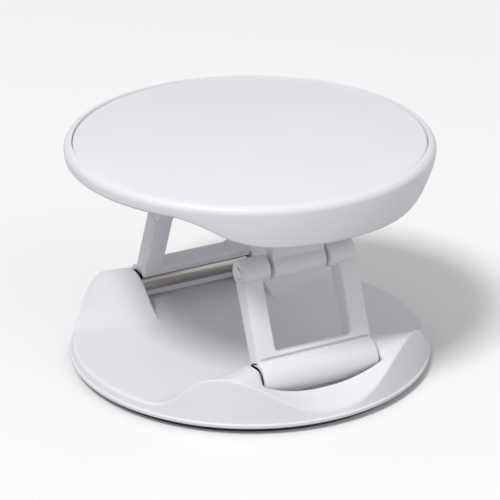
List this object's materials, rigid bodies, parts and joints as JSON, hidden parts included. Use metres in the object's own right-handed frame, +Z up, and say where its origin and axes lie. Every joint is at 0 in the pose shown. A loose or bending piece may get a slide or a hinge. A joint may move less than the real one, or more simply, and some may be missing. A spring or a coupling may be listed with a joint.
{
  "type": "folding phone holder",
  "caption": "Round folding phone holder: a stick-on base with wavy rim, legs that fold inward on steel pins, and a flat round disc for the fingers",
  "frame": {"origin": "centre of the sticky bottom face", "axes": "+Z up, hinge axes along X, front leg towards -Y"},
  "size_m": [0.042, 0.042, 0.027],
  "materials": {
    "white_shell": "cool white moulded plastic, satin",
    "white_plate": "cool white moulded plastic, smooth satin",
    "adhesive_foam": "dark foam pad with sticky face",
    "steel_pin": "drawn steel"
  },
  "bodies": {
    "base": {"base": "white_shell", "adhesive_pad": "adhesive_foam", "base_pin_front": "steel_pin", "base_pin_rear": "steel_pin"},
    "lower_front": {"lower_link_front": "white_shell", "mid_pin_front": "steel_pin"},
    "upper_front": {"upper_link_front": "white_shell"},
    "lower_rear": {"lower_link_rear": "white_shell", "mid_pin_rear": "steel_pin"},
    "upper_rear": {"upper_link_rear": "white_shell"},
    "disc": {"disc_body": "white_shell", "top_plate": "white_plate", "disc_pin_front": "steel_pin", "disc_pin_rear": "steel_pin"}
  },
  "joints": [
    {"name": "front_leg_fold", "type": "hinge", "parent": "base", "child": "lower_front", "pos_m": [0, -0.015, 0.0046], "axis": [-1, 0, 0], "range_deg": [-4, 54]},
    {"name": "front_knee", "type": "hinge", "parent": "lower_front", "child": "upper_front", "pos_m": [0, -0.01041, 0.01569], "axis": [-1, 0, 0], "range_deg": [-127.71, 9.46]},
    {"name": "disc_hinge", "type": "hinge", "parent": "upper_front", "child": "disc", "pos_m": [0, -0.0106, 0.02328], "axis": [-1, 0, 0], "range_deg": [-5.46, 73.71]},
    {"name": "rear_leg_fold", "type": "hinge", "parent": "base", "child": "lower_rear", "pos_m": [0, 0.015, 0.0046], "axis": [-1, 0, 0], "range_deg": [-54, 4]},
    {"name": "rear_knee", "type": "hinge", "parent": "lower_rear", "child": "upper_rear", "pos_m": [0, 0.01041, 0.01569], "axis": [-1, 0, 0], "range_deg": [-9.46, 127.71]}
  ],
  "couplings": [
    {"joint": "front_knee", "follows": "front_leg_fold", "ratio": -2.365},
    {"joint": "disc_hinge", "follows": "front_leg_fold", "ratio": 1.365},
    {"joint": "rear_leg_fold", "follows": "front_leg_fold", "ratio": -1},
    {"joint": "rear_knee", "follows": "front_leg_fold", "ratio": 2.365}
  ]
}
